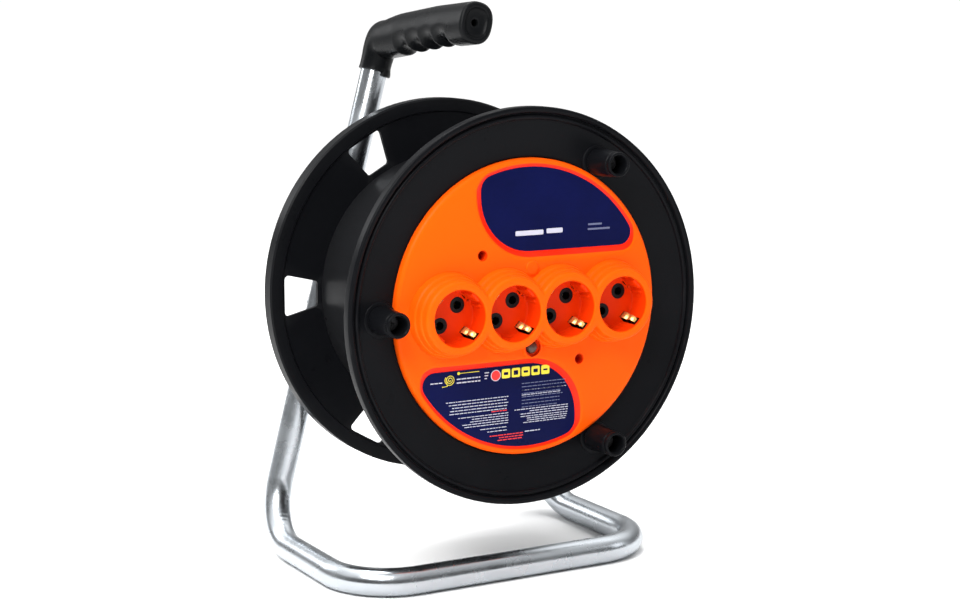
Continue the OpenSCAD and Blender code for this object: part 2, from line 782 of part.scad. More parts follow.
module live_bus() { color("#c9a24a") on_axis() bus(1); }
module neutral_bus() { color("#c9a24a") on_axis() bus(-1); }

// The earth strip runs behind the row, with two spring arms that reach into each recess
module earth_strip() {
    arm_w = 4.4;
    clip_w = 0.9;
    tip_h = floor_h + 9;
    color("#d8b25a") on_axis() difference() {
        union() {
            translate([-row_half - 6, -2.2, strip_h - clip_w]) cube([terminal_x + 4 + row_half + 6, 4.4, clip_w]);
            at_sockets() at_clips() {
                translate([0, -arm_w / 2, strip_h - clip_w]) cube([clip_r + clip_w, arm_w, clip_w]);
                translate([clip_r, -arm_w / 2, strip_h - clip_w])
                    cube([clip_w, arm_w, tip_h - 3 - strip_h + clip_w]);
                translate([clip_r, -arm_w / 2, tip_h - 3.4]) rotate([0, -28, 0])
                    cube([clip_w, arm_w, 3.8]);
            }
        }
        translate([terminal_x, 0, strip_h - 5]) cylinder(r = terminal_screw[0] + hole_gap, h = 10);
    }
}

module terminal_screws() {
    off = pin_r * sin(45);
    color("#8f949a") on_axis() {
        for (s = [-1, 1]) translate([terminal_x, s * off, bus_front_h - bus_w])
            mirror([0, 0, 1]) pan_screw(terminal_screw, 4);
        translate([terminal_x, 0, strip_h - 0.9]) mirror([0, 0, 1]) pan_screw(terminal_screw, 3);
    }
}

cutout_half_w = 8;
cutout_front_h = -5.2;
cutout_back_h = cutout_front_h - 26;
cutout_low = reset_y - 12;
cutout_high = reset_y + 8;

module thermal_cutout() {
    color("#2b2d30") on_axis() difference() {
        union() {
            translate([reset_x - cutout_half_w, cutout_low, cutout_back_h])
                cube([2 * cutout_half_w, cutout_high - cutout_low, cutout_front_h - cutout_back_h]);
            translate([reset_x, reset_y, 0]) pipe(reset_hole_r - 0.2, 0, cutout_front_h - 1, -1.2);
        }
        translate([reset_x, reset_y, cutout_front_h - 10]) cylinder(r = 3.2 + run_gap, h = 30);
    }
}

// A flat brass link from the cut-out to the live bar
module cutout_link() {
    link_w = 1;
    x = reset_x - 2.5;
    back = cutout_back_h - link_w - 0.1;
    top = pin_r * sin(45) - 1;
    color("#c9a24a") on_axis() {
        translate([x, cutout_low + 4, back]) cube([5, top - cutout_low - 4, link_w]);
        translate([x, top - link_w, back])
            cube([5, link_w, bus_front_h - bus_w - back - 0.05]);
    }
}

// The domed reset button stands out when the cut-out trips
module reset_button() {
    stem_r = 3.2;
    color("#8d8f90") on_axis() translate([reset_x, reset_y, 0]) rotate_extrude() polygon([
        [0, cutout_front_h - 5], [stem_r, cutout_front_h - 5], [stem_r, -0.9], [4.1, -0.9],
        [4.1, 2.2], [3.4, 3.6], [2, 4.6], [0, 5]
    ]);
}

frame_tube();
handle_grip();
handle_screw();
leg_end_plug();
bearing_plate();
plate_bolts();
plate_nuts();
axle_bolt();
axle_lock_nut();
axle_spacer();
axle_washers();
axle_end_nut();
rear_flange();
drum_shell();
front_flange();
hub_bushes();
flange_screws();
front_panel();
panel_screws();
contact_block_1();
contact_block_2();
contact_block_3();
contact_block_4();
live_bus();
neutral_bus();
earth_strip();
terminal_screws();
thermal_cutout();
cutout_link();
reset_button();
label_upper();
label_lower();
cable_inlet();
knob_1();
knob_2();
knob_3();
knob_screws();
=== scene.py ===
import json
import math

import bpy
import bmesh
import numpy as np
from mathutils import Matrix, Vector
from mathutils.geometry import delaunay_2d_cdt


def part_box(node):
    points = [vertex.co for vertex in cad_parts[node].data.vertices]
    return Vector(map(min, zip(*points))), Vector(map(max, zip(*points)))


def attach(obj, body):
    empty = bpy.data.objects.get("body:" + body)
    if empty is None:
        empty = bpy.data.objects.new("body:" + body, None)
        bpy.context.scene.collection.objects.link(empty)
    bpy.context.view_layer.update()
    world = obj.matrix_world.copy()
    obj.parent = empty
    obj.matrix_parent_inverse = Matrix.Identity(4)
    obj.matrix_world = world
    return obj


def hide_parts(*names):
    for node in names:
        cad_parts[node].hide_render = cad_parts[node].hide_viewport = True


# Lengths are millimetres unless a name says otherwise. Local coordinates on the reel are x to the
# right, y up from the axle and h forward of the front flange's rim.
MM = 0.001

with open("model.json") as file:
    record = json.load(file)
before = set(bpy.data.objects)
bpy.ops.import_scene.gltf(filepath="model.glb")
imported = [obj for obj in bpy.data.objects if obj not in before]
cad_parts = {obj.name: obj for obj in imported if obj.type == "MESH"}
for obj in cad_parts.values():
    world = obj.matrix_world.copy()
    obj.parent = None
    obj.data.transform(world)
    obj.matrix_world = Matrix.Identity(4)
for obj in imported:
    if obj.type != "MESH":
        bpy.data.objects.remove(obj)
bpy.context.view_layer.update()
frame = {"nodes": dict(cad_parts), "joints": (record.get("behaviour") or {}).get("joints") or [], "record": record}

# ---- sizes shared with the CAD ----
AXIS_Z = next(j for j in frame["joints"] if j["name"] == "reel_spin")["pos_m"][2] / MM
MOUTH_H = 18.5
RIM_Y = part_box("front_panel")[0].y / MM + MOUTH_H
PITCH = 43.6
SOCKET_XS = [(i - 1.5) * PITCH for i in range(4)]
RECESS_R = 19.75
FLOOR_H = 1.0
PANEL_R = (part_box("front_panel")[1].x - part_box("front_panel")[0].x) / 2 / MM
SEAT_R = PANEL_R + 0.3
FLANGE_R = (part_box("front_flange")[1].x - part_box("front_flange")[0].x) / 2 / MM
KNOB_R = SEAT_R + 9.9
KNOB_ANGLES = (180, 60, -60)
RESET = (0.0, -27.5)
BADGE = (0.0, 28.3)
SCREW_HOLES = [(55.5 * math.cos(a), 55.5 * math.sin(a)) for a in (math.radians(135), math.radians(-45))]
LABEL_H = -2.2
TUBE_R = 10.0
LEG_LEAN = math.radians(15)


# ---- mesh helpers ----

class Shape:
    """Vertices and faces that several helpers add to."""

    def __init__(self):
        self.v, self.f, self.m = [], [], []

    def add(self, verts, faces, slot=0):
        base = len(self.v)
        self.v.extend(map(tuple, verts))
        self.f.extend([tuple(base + i for i in f) for f in faces])
        self.m.extend([slot] * len(faces))

    def skin(self, loops, slot=0, wrap=False, closed=True, keep=None):
        """Quads between rows of points. closed joins a row's ends, wrap joins the last row to the first."""
        loops = np.asarray(loops, float)
        k, n = loops.shape[:2]
        faces = []
        for i in range(k if wrap else k - 1):
            for j in range(n if closed else n - 1):
                if keep is None or keep(i, j):
                    a, b = i * n, (i + 1) % k * n
                    faces.append((a + j, a + (j + 1) % n, b + (j + 1) % n, b + j))
        self.add(loops.reshape(-1, 3), faces, slot)

    def cap(self, loop, slot=0):
        self.add(loop, [tuple(range(len(loop)))], slot)


def on_reel(points):
    """Local reel coordinates to the row frame, in metres."""
    p = np.asarray(points, float)
    return np.column_stack((p[:, 0], RIM_Y - p[:, 2], AXIS_Z + p[:, 1])) * MM


def in_row(points):
    return np.asarray(points, float) * MM


def build(name, shape, materials, body, stands_for=(), place=on_reel, sharp=34, merge=0.004):
    """Turns a shape into an object that rides on a body."""
    mesh = bpy.data.meshes.new(name)
    mesh.from_pydata(place(shape.v).tolist(), [], shape.f)
    mesh.polygons.foreach_set("material_index", shape.m)
    bm = bmesh.new()
    bm.from_mesh(mesh)
    bmesh.ops.remove_doubles(bm, verts=bm.verts, dist=merge * MM)
    bmesh.ops.recalc_face_normals(bm, faces=bm.faces)
    bm.to_mesh(mesh)
    bm.free()
    mesh.shade_smooth()
    mesh.set_sharp_from_angle(angle=math.radians(sharp))
    for m in materials:
        mesh.materials.append(m)
    obj = bpy.data.objects.new(name, mesh)
    bpy.context.scene.collection.objects.link(obj)
    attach(obj, body)
    if stands_for:
        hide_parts(*stands_for)
    return obj


def rounded(points, radius, steps=5, closed=False):
    """Rounds the corners of a 2-D line. radius is one number, or one for each point."""
    p = np.asarray(points, float)
    n = len(p)
    radii = np.broadcast_to(np.asarray(radius, float), (n,))
    out = []
    for i in range(n):
        if not closed and i in (0, n - 1):
            out.append(p[i])
            continue
        a, b = p[i - 1] - p[i], p[(i + 1) % n] - p[i]
        la, lb = np.linalg.norm(a), np.linalg.norm(b)
        cut = min(radii[i], 0.48 * la, 0.48 * lb)
        if cut < 0.02:
            out.append(p[i])
            continue
        s, e = p[i] + a / la * cut, p[i] + b / lb * cut
        for t in np.linspace(0, 1, steps):
            out.append((1 - t) ** 2 * s + 2 * t * (1 - t) * p[i] + t * t * e)
    return np.array(out)


def lathe(profile, centre=(0, 0), segments=192):
    """Rows of points from a profile of (radius, h) turned about an axis parallel to the axle."""
    t = np.arange(segments) * 2 * math.pi / segments
    prof = np.asarray(profile, float)
    r, h = prof[:, :1], prof[:, 1:]
    return np.stack((centre[0] + r * np.cos(t), centre[1] + r * np.sin(t), h + 0 * t), axis=2)


def fillet_path(corners, radius):
    """A 3-D path of straight runs and round bends, and each point's pull towards its bend's centre."""
    c = [np.asarray(p, float) for p in corners]
    pts, inward = [c[0]], [np.zeros(3)]
    for i in range(1, len(c) - 1):
        a, b = c[i - 1] - c[i], c[i + 1] - c[i]
        a, b = a / np.linalg.norm(a), b / np.linalg.norm(b)
        half = math.acos(np.clip(a @ b, -1, 1)) / 2
        run = radius / math.tan(half)
        mid = (a + b) / np.linalg.norm(a + b)
        centre = c[i] + mid * radius / math.sin(half)
        s, e = c[i] + a * run - centre, c[i] + b * run - centre
        turn = math.pi - 2 * half
        for t in np.linspace(0, 1, 49):
            q = (s * math.sin((1 - t) * turn) + e * math.sin(t * turn)) / math.sin(turn)
            pts.append(centre + q)
            inward.append(-q / radius * math.sin(math.pi * t))
    pts.append(c[-1])
    inward.append(np.zeros(3))
    return np.array(pts), np.array(inward)


def tangents(path):
    d = np.gradient(path, axis=0)
    return d / np.linalg.norm(d, axis=1)[:, None]


def transported(path, start_side):
    """Tangents, sides and ups along a path, with no twist."""
    t = tangents(path)
    side = np.asarray(start_side, float)
    sides = []
    for d in t:
        side = side - d * (side @ d)
        side /= np.linalg.norm(side)
        sides.append(side)
    sides = np.array(sides)
    return t, sides, np.cross(t, sides)


# ---- materials ----

def node(tree, kind, **values):
    n = tree.nodes.new(kind)
    for key, value in values.items():
        if hasattr(n, key):
            setattr(n, key, value)
        else:
            n.inputs[key.replace("_", " ")].default_value = value
    return n


def mapped(tree, value, from_low, from_high, low, high):
    """A value stretched from one range to another. Returns the output socket."""
    n = node(tree, "ShaderNodeMapRange")
    for key, number in (("From Min", from_low), ("From Max", from_high), ("To Min", low), ("To Max", high)):
        n.inputs[key].default_value = number
    tree.links.new(value, n.inputs["Value"])
    return n.outputs["Result"]


def with_edge_highlight(tree, colour, base, edge_highlight):
    """The base colour, paler on outer edges as a painted highlight. Returns the output socket."""
    shape = node(tree, "ShaderNodeNewGeometry")
    edge_light = node(tree, "ShaderNodeMix", data_type="RGBA")
    # A paler copy of the colour, mixed in on sharp outer edges as a painted highlight.
    edge_light.inputs["B"].default_value = (*[min(1, c * 1.5 + 0.04) for c in colour], 1)
    tree.links.new(mapped(tree, shape.outputs["Pointiness"], 0.52, 0.60, 0, edge_highlight), edge_light.inputs["Factor"])
    tree.links.new(base, edge_light.inputs["A"])
    return edge_light.outputs["Result"]


def surface(name, colour, roughness, metallic=0.0, spread=0.05, patch=30, grain=1400, depth=0.02,
            tint=0.10, edge_highlight=0.0, stretch=(1, 1, 1), **sockets):
    """A material with grain, uneven gloss, drift and a painted highlight that makes edges paler. grain and patch
    are cycles a metre.
    """
    m = bpy.data.materials.new(name)
    m.use_nodes = True
    tree = m.node_tree
    link = tree.links.new
    bsdf = tree.nodes["Principled BSDF"]
    bsdf.inputs["Metallic"].default_value = metallic
    for key, value in sockets.items():
        bsdf.inputs[key.replace("_", " ")].default_value = value
    where = node(tree, "ShaderNodeTexCoord")
    scaled = node(tree, "ShaderNodeMapping", Scale=stretch)
    link(where.outputs["Object"], scaled.inputs["Vector"])
    coarse = node(tree, "ShaderNodeTexNoise", Scale=patch, Detail=4.0, Roughness=0.6)
    fine = node(tree, "ShaderNodeTexNoise", Scale=grain, Detail=2.0, Roughness=0.5)
    for n in (coarse, fine):
        link(scaled.outputs["Vector"], n.inputs["Vector"])
    dull, glossy = min(1.0, roughness + spread), max(0.02, roughness - spread)
    link(mapped(tree, coarse.outputs["Fac"], 0.3, 0.7, glossy, dull), bsdf.inputs["Roughness"])
    bump = node(tree, "ShaderNodeBump", Strength=0.5, Distance=depth * MM)
    link(fine.outputs["Fac"], bump.inputs["Height"])
    link(bump.outputs["Normal"], bsdf.inputs["Normal"])
    drift = node(tree, "ShaderNodeMix", data_type="RGBA")
    drift.inputs["A"].default_value = (*[c * (1 - tint) for c in colour], 1)
    drift.inputs["B"].default_value = (*[min(1, c * (1 + tint)) for c in colour], 1)
    link(coarse.outputs["Fac"], drift.inputs["Factor"])
    out = drift.outputs["Result"]
    # When its strength is above zero, the painted edge highlight is mixed into the colour.
    link(with_edge_highlight(tree, colour, out, edge_highlight) if edge_highlight else out, bsdf.inputs["Base Color"])
    return m


ORANGE = (0.93, 0.092, 0.002)
# For grip_black, reel_black and panel_orange, the tenth argument sets the strength of the painted edge highlight.
MATS = {
    "zinc": surface("zinc_plate", (0.47, 0.50, 0.53), 0.27, 1.0, 0.09, 26, 420, 0.05, 0.16),
    "grip_black": surface("grip_plastic", (0.004, 0.0044, 0.005), 0.30, 0, 0.07, 40, 1500, 0.03, 0.2,
                          0.15, Specular_IOR_Level=0.06),
    "reel_black": surface("reel_plastic", (0.0042, 0.0045, 0.0055), 0.33, 0, 0.06, 30, 1200, 0.03, 0.2,
                          0.12, Specular_IOR_Level=0.045),
    "panel_orange": surface("panel_plastic", ORANGE, 0.34, 0, 0.05, 26, 1100, 0.012, 0.03, 0.10,
                            Specular_IOR_Level=0.04),
    "contact_black": surface("contact_insulator", (0.004, 0.004, 0.005), 0.36, 0, 0.06, 60, 1500, 0.02,
                             0.2, Specular_IOR_Level=0.12),
    "contact_brass": surface("contact_brass_sheet", (0.74, 0.47, 0.15), 0.26, 0.72, 0.07, 60, 900, 0.03,
                             0.12),
    "steel_screw": surface("screw_zinc", (0.60, 0.61, 0.63), 0.30, 1.0, 0.08, 90, 1500, 0.02, 0.12),
    "plate_steel": surface("plate_zinc", (0.64, 0.66, 0.68), 0.30, 1.0, 0.09, 30, 700, 0.04, 0.12),
    "bush_nylon": surface("bush_nylon", (0.78, 0.76, 0.68), 0.45, 0, 0.05, 60, 1500, 0.02, 0.05),
    "label_navy": surface("label_film", (0.0018, 0.0036, 0.040), 0.33, 0, 0.06, 24, 900, 0.01, 0.4,
                          Specular_IOR_Level=0.05),
    "button_grey": surface("button_clear", (0.075, 0.045, 0.035), 0.16, 0, 0.04, 120, 1500, 0.01, 0.2,
                           Specular_IOR_Level=0.35),
    "cutout_case": surface("cutout_phenolic", (0.03, 0.031, 0.034), 0.5, 0, 0.06, 60, 1500, 0.03, 0.2),
    "rubber_black": surface("inlet_rubber", (0.016, 0.016, 0.017), 0.7, 0, 0.06, 60, 1500, 0.04, 0.2),
}
# Near-black metal for the screws deep in the knobs and the panel: painted shade in their holes.
SCREW_SHADE = surface("screw_painted_shade", (0.03, 0.03, 0.032), 0.5, 0.6, 0.06, 90, 1500, 0.02, 0.12)
BORDER = surface("panel_border", (0.95, 0.016, 0.001), 0.36, 0, 0.05, 26, 1100, 0.012, 0.03,
                 Specular_IOR_Level=0.15)
# Darker red-orange for the recess walls, floors and holes: painted shade in the hollows of the one orange
# moulding.
WELL_SHADE = surface("panel_well_painted_shade", (0.72, 0.036, 0.001), 0.34, 0, 0.05, 26, 1100, 0.012, 0.04,
               Specular_IOR_Level=0.06)
PRINTS = {
    "white": surface("print_white", (0.48, 0.50, 0.60), 0.5, 0, 0.04, 80, 1500, 0.01, 0.06),
    "faint": surface("print_faint", (0.10, 0.12, 0.22), 0.5, 0, 0.04, 80, 1500, 0.01, 0.1),
    "yellow": surface("print_yellow", (0.78, 0.70, 0.03), 0.5, 0, 0.04, 80, 1500, 0.01, 0.06),
    "red": surface("print_red", (0.75, 0.015, 0.012), 0.5, 0, 0.04, 80, 1500, 0.01, 0.08),
}


def dress_cad_nodes():
    """Gives every CAD node the material of its slot. The screws get a near-black metal instead, as painted shade
    for the deep holes they sit in.
    """
    for part in frame["record"]["subparts"]:
        obj = frame["nodes"][part["node"]]
        obj.data.materials.clear()
        dark = part["node"] in ("knob_screws", "panel_screws")
        obj.data.materials.append(SCREW_SHADE if dark else MATS[part["material_slot"]])


# ---- front panel ----

def smooth_step(x):
    x = np.clip(x, 0, 1)
    return x * x * (3 - 2 * x)


def union(a, b, k):
    """The higher of two surfaces, with a fillet where they meet."""
    s = np.clip(k - np.abs(a - b), 0, None) / k
    return np.maximum(a, b) + s * s * k / 4


def crown(r):
    """Height of the bare disc, which rolls over at its edge."""
    h = 2.2 - 3.2 * np.clip((r - 38) / 63, 0, 1) ** 2
    u = np.clip((r - (PANEL_R - 3.3)) / 3.3, 0, 1)
    return h - 3.0 * (1 - np.sqrt(1 - u * u))


# Profiles of (radius, h) for what stands on the bare disc
COLLAR = rounded([(RECESS_R, 17.0), (RECESS_R, MOUTH_H), (25.5, MOUTH_H), (25.9, 12.2), (27.2, 11.5),
                  (27.6, 6.6), (28.9, 5.8), (29.6, -8)], [0, 1.1, 2.8, 1.2, 1.2, 1.2, 1.5, 0], 9)
COLLAR[:, 0] += np.arange(len(COLLAR)) * 0.002
RESET_BOSS = rounded([(0, 3.9), (7.9, 3.9), (8.2, -8)], [0, 1.0, 0], 5)
BADGE_BOSS = rounded([(0, 3.2), (5.0, 3.2), (5.4, -8)], [0, 0.8, 0], 5)


def panel_height(x, y):
    """Height of the panel's skin, apart from its wells and label fields."""
    d = np.min([np.hypot(x - s, y) for s in SOCKET_XS], axis=0)
    near = sum(np.exp(-(np.hypot(x - s, y) - d) / 0.9) for s in SOCKET_XS)
    d = d - 0.9 * np.log(near)
    h = crown(np.hypot(x, y))
    h = union(h, np.interp(d, COLLAR[:, 0], COLLAR[:, 1]), 2.4)
    for place, boss in ((RESET, RESET_BOSS), (BADGE, BADGE_BOSS)):
        h = union(h, np.interp(np.hypot(x - place[0], y - place[1]), boss[:, 0], boss[:, 1]), 0.9)
    return h


def arc(c, r, start, end, steps):
    a = np.radians(np.linspace(start, end, steps))
    return [(c[0] + r * math.cos(t), c[1] + r * math.sin(t)) for t in a]


def label_outline(turn):
    """The label's outline: a concentric outer arc, a straight foot and side, and one swept corner."""
    r, foot, left, sweep, nose, brow = PANEL_R - 5.9, 39.6, 38.3, 39.4, 9, 11
    nose_c = (math.sqrt((r - nose) ** 2 - (foot + nose) ** 2), foot + nose)
    brow_c = (brow - left, math.sqrt((r - brow) ** 2 - (left - brow) ** 2))
    nose_a = math.degrees(math.atan2(nose_c[1], nose_c[0]))
    brow_a = math.degrees(math.atan2(brow_c[1], brow_c[0]))
    pts = arc(nose_c, nose, -90, nose_a, 14) + arc((0, 0), r, nose_a + 1.2, brow_a - 1.2, 72)
    pts += arc(brow_c, brow, brow_a, 180, 12) + arc((sweep - left, foot + sweep), sweep, 180, 270, 34)
    end, start = pts[-1], pts[0]
    n = 34
    pts += [(end[0] + (start[0] - end[0]) * i / n, end[1] + (start[1] - end[1]) * i / n)
            for i in range(1, n)]
    sign = 1 if turn == 0 else -1
    return np.array(pts) * sign


def grown(loop, g):
    """The outline moved outwards by g, but less along the outer arc, where the panel ends."""
    d = np.roll(loop, -1, axis=0) - np.roll(loop, 1, axis=0)
    normal = np.column_stack((d[:, 1], -d[:, 0])) / np.linalg.norm(d, axis=1)[:, None]
    share = 1 - 0.45 * smooth_step((np.hypot(*loop.T) - 91) / 6.8)
    return loop + normal * (g * share)[:, None]


def inside(p, loop):
    """Which points lie inside a closed outline."""
    x, y = p[:, 0], p[:, 1]
    hit = np.zeros(len(p), bool)
    for a, b in zip(loop, np.roll(loop, -1, axis=0)):
        cross = (a[1] > y) != (b[1] > y)
        if a[1] != b[1]:
            hit ^= cross & (x < (b[0] - a[0]) * (y - a[1]) / (b[1] - a[1]) + a[0])
    return hit


BORDER_W = 5.2
HOLE_R = 3.4
RESET_R = 6.0


def collar_points(cx, first, last):
    """Rings round one socket, cut off half way to its neighbours, with points on that line."""
    radii = np.append(COLLAR[:, 0], [31.3, 32.2])
    t = np.arange(160) * 2 * math.pi / 160
    p = np.array([(r * c, r * s) for r in radii for c, s in zip(np.cos(t), np.sin(t))])
    half = PITCH / 2
    keep = np.ones(len(p), bool)
    edge = []
    for sign, open_side in ((-1, first), (1, last)):
        if not open_side:
            keep &= sign * p[:, 0] < half - 0.12
            for r in radii[radii > half]:
                y = math.sqrt(r * r - half * half)
                edge += [(sign * half, y), (sign * half, -y)]
            edge += [(sign * half, y) for y in np.arange(-9, 9.1, 1.0)]
    p = p[keep]
    if edge:
        p = np.vstack((p, edge))
    return p + (cx, 0)


def ring_points(centre, radii, count):
    t = np.arange(count) * 2 * math.pi / count
    return np.array([(centre[0] + r * math.cos(a), centre[1] + r * math.sin(a))
                     for r in radii for a in t])


def panel_points(borders):
    """Every point of the panel's skin, with features' own rings where they need them."""
    collars = np.vstack([collar_points(x, i == 0, i == 3) for i, x in enumerate(SOCKET_XS)])
    reset = ring_points(RESET, (RESET_R + 0.4, 6.8, 7.2, 7.6, 7.9, 8.1, 8.3, 8.6, 9.0), 64)
    badge = ring_points(BADGE, (0.01, 1.5, 3, 4.2, 4.6, 4.9, 5.2, 5.4, 5.7, 6.1), 48)
    holes = np.vstack([ring_points(c, (HOLE_R + 0.45, HOLE_R + 1.2, HOLE_R + 2.4), 40)
                       for c in SCREW_HOLES])
    rim = ring_points((0, 0), PANEL_R - np.array([3.6, 3.0, 2.4, 1.8, 1.2, 0.7, 0.35, 0.12, 0]), 240)
    g = np.arange(-100, 101, 2.4)
    gx, gy = np.meshgrid(g, g * 0.92)
    gx = gx + 1.2 * (np.arange(len(g)) % 2)[:, None]
    grid = np.column_stack((gx.ravel(), gy.ravel()))
    grid = grid[np.hypot(*grid.T) < PANEL_R - 4.6]

    def away(p, centre, r):
        return p[np.hypot(p[:, 0] - centre[0], p[:, 1] - centre[1]) > r]

    for x in SOCKET_XS:
        grid, reset, badge = (away(p, (x, 0), r) for p, r in ((grid, 33.4), (reset, 32.3), (badge, 32.3)))
    collars = away(away(collars, RESET, RESET_R + 0.6), BADGE, 0)
    for c, r in ((RESET, 10), (BADGE, 7.2), (SCREW_HOLES[0], 7), (SCREW_HOLES[1], 7)):
        grid = away(grid, c, r)
    far = collars[(np.hypot(collars[:, 0] - RESET[0], collars[:, 1] - RESET[1]) > 9.1)
                  | (np.min([np.hypot(collars[:, 0] - s, collars[:, 1]) for s in SOCKET_XS], axis=0) < 32)]
    p = np.vstack([far, reset, ring_points(RESET, (RESET_R + 0.4,), 64), badge, holes, rim, grid])
    p = p[np.hypot(p[:, 0] - RESET[0], p[:, 1] - RESET[1]) > RESET_R + 0.35]
    for b in borders:
        p = p[~inside(p, grown(b, 0.9)) & ~inside(p, b)]
    return p


def panel_skin(shape, borders):
    """Triangles over the panel's skin, left open at wells, holes and label fields."""
    p = panel_points(borders)
    edges, base = [], 0
    loops = [np.asarray(b) for b in borders]
    for b in loops:
        n = len(b)
        edges += [(base + i, base + (i + 1) % n) for i in range(n)]
        base += n
    p = np.unique(np.round(p, 4), axis=0)
    every = np.vstack(loops + [p])
    verts, _, faces, *_ = delaunay_2d_cdt([Vector(q) for q in every], edges, [], 0, 1e-5)
    v = np.array([tuple(q) for q in verts])
    f = np.array(faces)
    mid = v[f].mean(axis=1)
    good = np.hypot(*mid.T) < PANEL_R
    for x in SOCKET_XS:
        good &= np.hypot(mid[:, 0] - x, mid[:, 1]) > COLLAR[0, 0] - 0.01
    good &= np.hypot(mid[:, 0] - RESET[0], mid[:, 1] - RESET[1]) > RESET_R + 0.39
    for c in SCREW_HOLES:
        good &= np.hypot(mid[:, 0] - c[0], mid[:, 1] - c[1]) > HOLE_R + 0.44
    for b in loops:
        good &= ~inside(mid, b)
    h = panel_height(v[:, 0], v[:, 1])
    shape.add(np.column_stack((v, h)), f[good].tolist())


def label_border(shape, loop, outer):
    """The sloped surround of a label field, from its floor up to the skin."""
    rows = []
    top = panel_height(outer[:, 0], outer[:, 1])
    steps = ((0.5, -0.10), (0.62, 0.02), (0.9, 0.08), (1.6, 0.2), (2.6, 0.42), (3.5, 0.62), (3.9, 0.68),
             (4.2, 0.74), (4.5, 0.84), (4.85, 0.95), (BORDER_W, 1.0))
    for g, share in steps:
        rows.append(np.column_stack((grown(loop, g), LABEL_H + (top - LABEL_H) * share)))
    red_rows = 7
    shape.skin(rows[:red_rows], slot=1)
    shape.skin(rows[red_rows - 1:], slot=0)
    under = np.column_stack((grown(loop, 0.5), np.full(len(loop), LABEL_H)))
    shape.skin([under, rows[0]], slot=1)
    shape.cap(under[::-1], slot=1)


# Ribs and keys on a recess's wall: angle, half angle, how far they stand out, height of the top
KEYS = ((45, 11, 1.9, 15.4), (225, 11, 1.9, 15.4), (20, 3, 0.9, 12.4), (72, 3, 0.9, 12.4),
        (200, 3, 0.9, 12.4), (252, 3, 0.9, 12.4))
CLIP_ANGLES = (math.radians(135), math.radians(-45))


def well(shape, cx):
    """One plug recess: a wall with two guide ribs and small keys, a pocket for each clip, and a floor."""
    n = 160
    t = np.arange(n) * 2 * math.pi / n
    heights = [COLLAR[0, 1], 16.4, 15.6, 15.2, 14.6, 12.6, 12.2, 11.4, 8, 5, 2.2, 1.5, 1.1, FLOOR_H]
    rows = []
    for h in heights:
        r = np.full(n, COLLAR[0, 0])
        r -= 0.25 * (MOUTH_H - h) / 17.5
        for a, half, deep, top in KEYS:
            away = np.abs((np.degrees(t) - a + 180) % 360 - 180)
            r -= deep * smooth_step((half + 1.5 - away) / 1.8) * smooth_step((top - h) / 0.8 + 0.5)
        if h < 1.6:
            r -= 0.5 * (1.6 - h) ** 2 / 0.36
        rows.append(np.column_stack((cx + r * np.cos(t), r * np.sin(t), np.full(n, h))))
    deg = np.degrees(t)

    def wall(i, j):
        mid = deg[j] + 180 / n
        slot = min(abs((mid - a + 180) % 360 - 180) for a in (135, 315)) < 8.6
        return not (slot and heights[i] < 15.5)

    # The wall and the floor take the darker well material, which is painted shade.
    shape.skin(rows, slot=2, keep=wall)
    floor(shape, cx, rows[-1])
    for a in CLIP_ANGLES:
        pocket(shape, cx, a)


def floor(shape, cx, rim):
    """The recess floor, with two round pin holes and two clip slots."""
    holes = [(cx + 9.5 * math.cos(a), 9.5 * math.sin(a)) for a in (math.radians(45), math.radians(225))]
    p = [tuple(q[:2]) for q in rim]
    for r in (6, 10, 13, 16):
        p += [tuple(q) for q in ring_points((cx, 0), (r,), int(r * 3))]
    p = np.array(p)
    for c in holes:
        p = p[np.hypot(p[:, 0] - c[0], p[:, 1] - c[1]) > 6.6]
    slots = []
    for a in CLIP_ANGLES:
        u, w = np.array((math.cos(a), math.sin(a))), np.array((-math.sin(a), math.cos(a)))
        q = (p - (cx, 0))
        p = p[~((np.abs(q @ w) < 3.3) & (q @ u > 13.6) & (q @ u < 19.0))]
        slots.append((u, w))
    extra = np.vstack([ring_points(c, (5.65, 6.3), 40) for c in holes])
    for u, w in slots:
        for k in np.linspace(-2.8, 2.8, 7):
            extra = np.vstack((extra, [u * 14.4 + w * k + (cx, 0)]))
        for k in np.linspace(14.9, 18.4, 6):
            extra = np.vstack((extra, [u * k + w * 2.8 + (cx, 0), u * k - w * 2.8 + (cx, 0)]))
    p = np.unique(np.round(np.vstack((p, extra)), 4), axis=0)
    verts, _, faces, *_ = delaunay_2d_cdt([Vector(q) for q in p], [], [], 0, 1e-5)
    v, f = np.array([tuple(q) for q in verts]), np.array(faces)
    mid = v[f].mean(axis=1)
    good = np.ones(len(f), bool)
    for c in holes:
        good &= np.hypot(mid[:, 0] - c[0], mid[:, 1] - c[1]) > 5.62
    for u, w in slots:
        q = mid - (cx, 0)
        good &= ~((np.abs(q @ w) < 2.79) & (q @ u > 14.41))
    shape.add(np.column_stack((v, np.full(len(v), FLOOR_H))), f[good].tolist(), slot=2)
    for c in holes:
        ring = [ring_points(c, (r,), 40) for r in (5.65, 5.6)]
        shape.skin([np.column_stack((q, np.full(40, h)))
                    for q, h in zip(ring, (FLOOR_H, FLOOR_H - 2.4))], slot=2)


